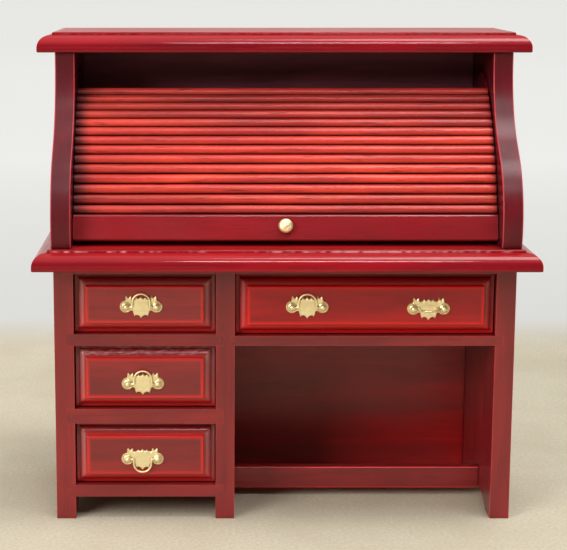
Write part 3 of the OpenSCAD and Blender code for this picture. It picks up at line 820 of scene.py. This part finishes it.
def pull_bail(number):
    """Wire hoop: the CAD hoop's own shape, a little thinner all round."""
    node = "pull_%d_bail" % number
    bm = cad_copy(node)
    bm.normal_update()
    for v in bm.verts:
        v.co += v.normal * -WIRE_SLIM * MM
    piece_from(node + "_wire", bm, "brass", node, 50.0)


# ---------------------------------------------------------------- stage

def backdrop(reach=2.4, bend=0.4, top=0.9, spokes=96):
    """Wide round floor that sweeps up into a low wall on all sides, well behind every viewpoint."""
    bm = bmesh.new()
    path = [(0.05, 0.0), (0.2, 0.0), (0.6, 0.0), (1.2, 0.0)]
    path += [(reach - bend + bend * math.sin(math.radians(a)), bend - bend * math.cos(math.radians(a)))
             for a in range(0, 91, 10)]
    path.append((reach, top))
    turns = [2 * math.pi * i / spokes for i in range(spokes)]
    rows = loft(bm, [[(r * math.cos(turn), r * math.sin(turn), z) for turn in turns] for r, z in path])
    bm.faces.new(rows[0])
    mesh = bpy.data.meshes.new("backdrop")
    bm.to_mesh(mesh)
    bm.free()
    smoothed(mesh, 60)
    mesh.materials.append(cloth_and_paper("backdrop"))
    obj = bpy.data.objects.new("backdrop", mesh)
    bpy.context.scene.collection.objects.link(obj)


def area_light(name, where, aim, size, power, colour=(1.0, 1.0, 1.0)):
    data = bpy.data.lights.new(name, "AREA")
    data.shape = "RECTANGLE"
    data.size, data.size_y = size
    data.energy = power
    data.color = colour
    obj = bpy.data.objects.new(name, data)
    obj.location = where
    obj.rotation_euler = (Vector(aim) - Vector(where)).to_track_quat("-Z", "Y").to_euler()
    bpy.context.scene.collection.objects.link(obj)


def room():
    """World light: a room that is dark low down and pale above."""
    world = bpy.data.worlds.new("studio")
    bpy.context.scene.world = world
    world.use_nodes = True
    nodes, links = world.node_tree.nodes, world.node_tree.links
    where = nodes.new("ShaderNodeTexCoord")
    split = nodes.new("ShaderNodeSeparateXYZ")
    rise = nodes.new("ShaderNodeMapRange")
    for key, number in (("From Min", 0.50), ("From Max", 0.92), ("To Min", 0.10), ("To Max", 1.15)):
        rise.inputs[key].default_value = number
    links.new(where.outputs["Generated"], split.inputs[0])
    links.new(split.outputs["Z"], rise.inputs["Value"])
    nodes["Background"].inputs["Color"].default_value = (1.0, 0.99, 0.97, 1)
    links.new(rise.outputs["Result"], nodes["Background"].inputs["Strength"])


def lamps():
    """A broad lamp overhead, a narrow one in front and a warmer key at the left."""
    area_light("overhead", (0.22, -0.19, 0.95), (0.10, -0.08, 0.08), size=(0.36, 0.36), power=4.3)
    area_light("front", (0.08, -0.72, 0.85), (0.04, 0.0, 0.08), size=(0.24, 0.06), power=1.9)
    area_light("key", (-0.70, -0.86, 0.50), (0.0, 0.0, 0.05), size=(0.5, 0.4), power=8.0,
               colour=(1.0, 0.97, 0.93))


def camera():
    """A little left of the desk's middle, above its top and looking 11 degrees down."""
    data = bpy.data.cameras.new("camera")
    data.sensor_width = 36.0
    data.lens = 111.5
    data.shift_x, data.shift_y = 0.1417, 0.0644
    data.clip_start, data.clip_end = 0.01, 20.0
    obj = bpy.data.objects.new("camera", data)
    obj.location = (-0.01967, -0.4353, 0.13289)
    obj.rotation_euler = (math.radians(79.0), 0.0, 0.0)
    bpy.context.scene.collection.objects.link(obj)
    bpy.context.scene.camera = obj


# ---------------------------------------------------------------- assembly

def carcass():
    """Everything that stands still."""
    moulded_board("top_board", 1, bead_glint=0.12)
    moulded_board("desk_slab", 2, bead_glint=1.0)
    for node in ("gable_left", "gable_right"):
        softened(node, "gable", 0.25, 3)
    for node in ("base_side_left", "partition", "base_side_right"):
        softened(node, "post", 0.42, 3)
    for node in ("upper_rail_left", "upper_rail_right", "drawer_rail_upper", "drawer_rail_lower",
                 "bottom_rail"):
        softened(node, "rail", 0.12)
    for node in ("kneehole_rail", "stretcher"):
        softened(node, "knee", 0.2)
    upper_back()
    softened("base_back_panel", "panel", 0.1)
    for node in ("pigeonhole_case", "pigeonhole_dividers", "false_back"):
        softened(node, "inside_x", 0.1)
    softened("drawer_runners", "inside_y", 0.1)


def drawer(name, seed, material, top_glints=False):
    drawer_front(name + "_front", seed, material, top_glints)
    softened(name + "_box", "inside_y", 0.1)
    softened(name + "_bottom", "inside_y", 0.06)


def build():
    carcass()
    softened("lift_rail", "lift", 0.12)
    softened("brads", "steel", 0.02)
    for number in range(1, 15):
        slat(number)
    drawer("small_drawer_1", 20, "drawer")
    drawer("small_drawer_2", 21, "drawer", top_glints=True)
    drawer("small_drawer_3", 22, "drawer")
    drawer("wide_drawer", 23, "wide_drawer")
    knob()
    for number in range(1, 6):
        pull_plate(number)
        pull_bail(number)


bpy.context.scene.view_settings.view_transform = "Standard"
camera()
room()
lamps()
backdrop()
build()
